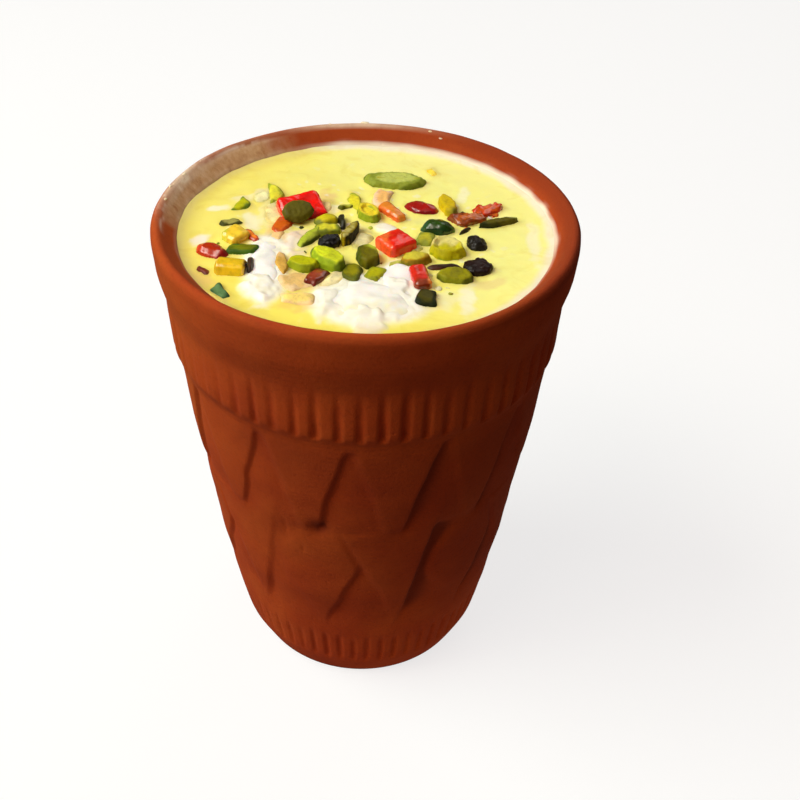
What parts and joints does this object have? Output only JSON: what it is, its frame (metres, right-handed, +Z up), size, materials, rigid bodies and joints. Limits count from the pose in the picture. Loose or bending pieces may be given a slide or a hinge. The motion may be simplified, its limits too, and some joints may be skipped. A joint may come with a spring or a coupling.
{
  "type": "clay cup of lassi",
  "caption": "Tapering clay cup with stamped relief, filled with pale yellow lassi and topped with cream, candied fruit, raisins and pistachios.",
  "frame": {"origin": "centre of the underside of the foot, where the cup stands", "axes": "+Z up along the cup's axis of turning; -Y towards the side shown, where the cream lies; +X to that side's right"},
  "size_m": [0.084, 0.084, 0.1073],
  "materials": {
    "terracotta": "matt, unglazed fired clay",
    "mango_lassi": "satin",
    "cream": "satin",
    "candied_fruit_red": "glossy",
    "candied_fruit_yellow": "glossy",
    "candied_fruit_orange": "glossy",
    "raisin": "satin",
    "pistachio": "matt",
    "almond": "matt"
  },
  "bodies": {
    "root": {"cup": "terracotta", "lassi": "mango_lassi", "fruit_red_back": "candied_fruit_red", "fruit_red_middle": "candied_fruit_red", "fruit_red_front": "candied_fruit_red", "fruit_yellow_back": "candied_fruit_yellow", "fruit_yellow_front": "candied_fruit_yellow", "fruit_orange": "candied_fruit_orange", "fruit_red_right": "candied_fruit_red", "fruit_red_left": "candied_fruit_red", "raisin_middle": "raisin", "raisin_right_back": "raisin", "raisin_right_front": "raisin", "pistachio_dome": "pistachio", "pistachio_slice": "pistachio", "pistachio_cup": "pistachio", "pistachio_on_fruit": "pistachio", "pistachio_fork_right": "pistachio", "pistachio_fork_left": "pistachio", "pistachio_centre": "pistachio", "pistachio_sliver": "pistachio", "pistachio_curl": "pistachio", "pistachio_wedge": "pistachio", "pistachio_right": "pistachio", "pistachio_dark_sliver": "pistachio", "almond_leaf": "almond", "almond_flake": "almond", "cream_front": "cream", "cream_middle": "cream", "cream_left": "cream"}
  },
  "joints": []
}
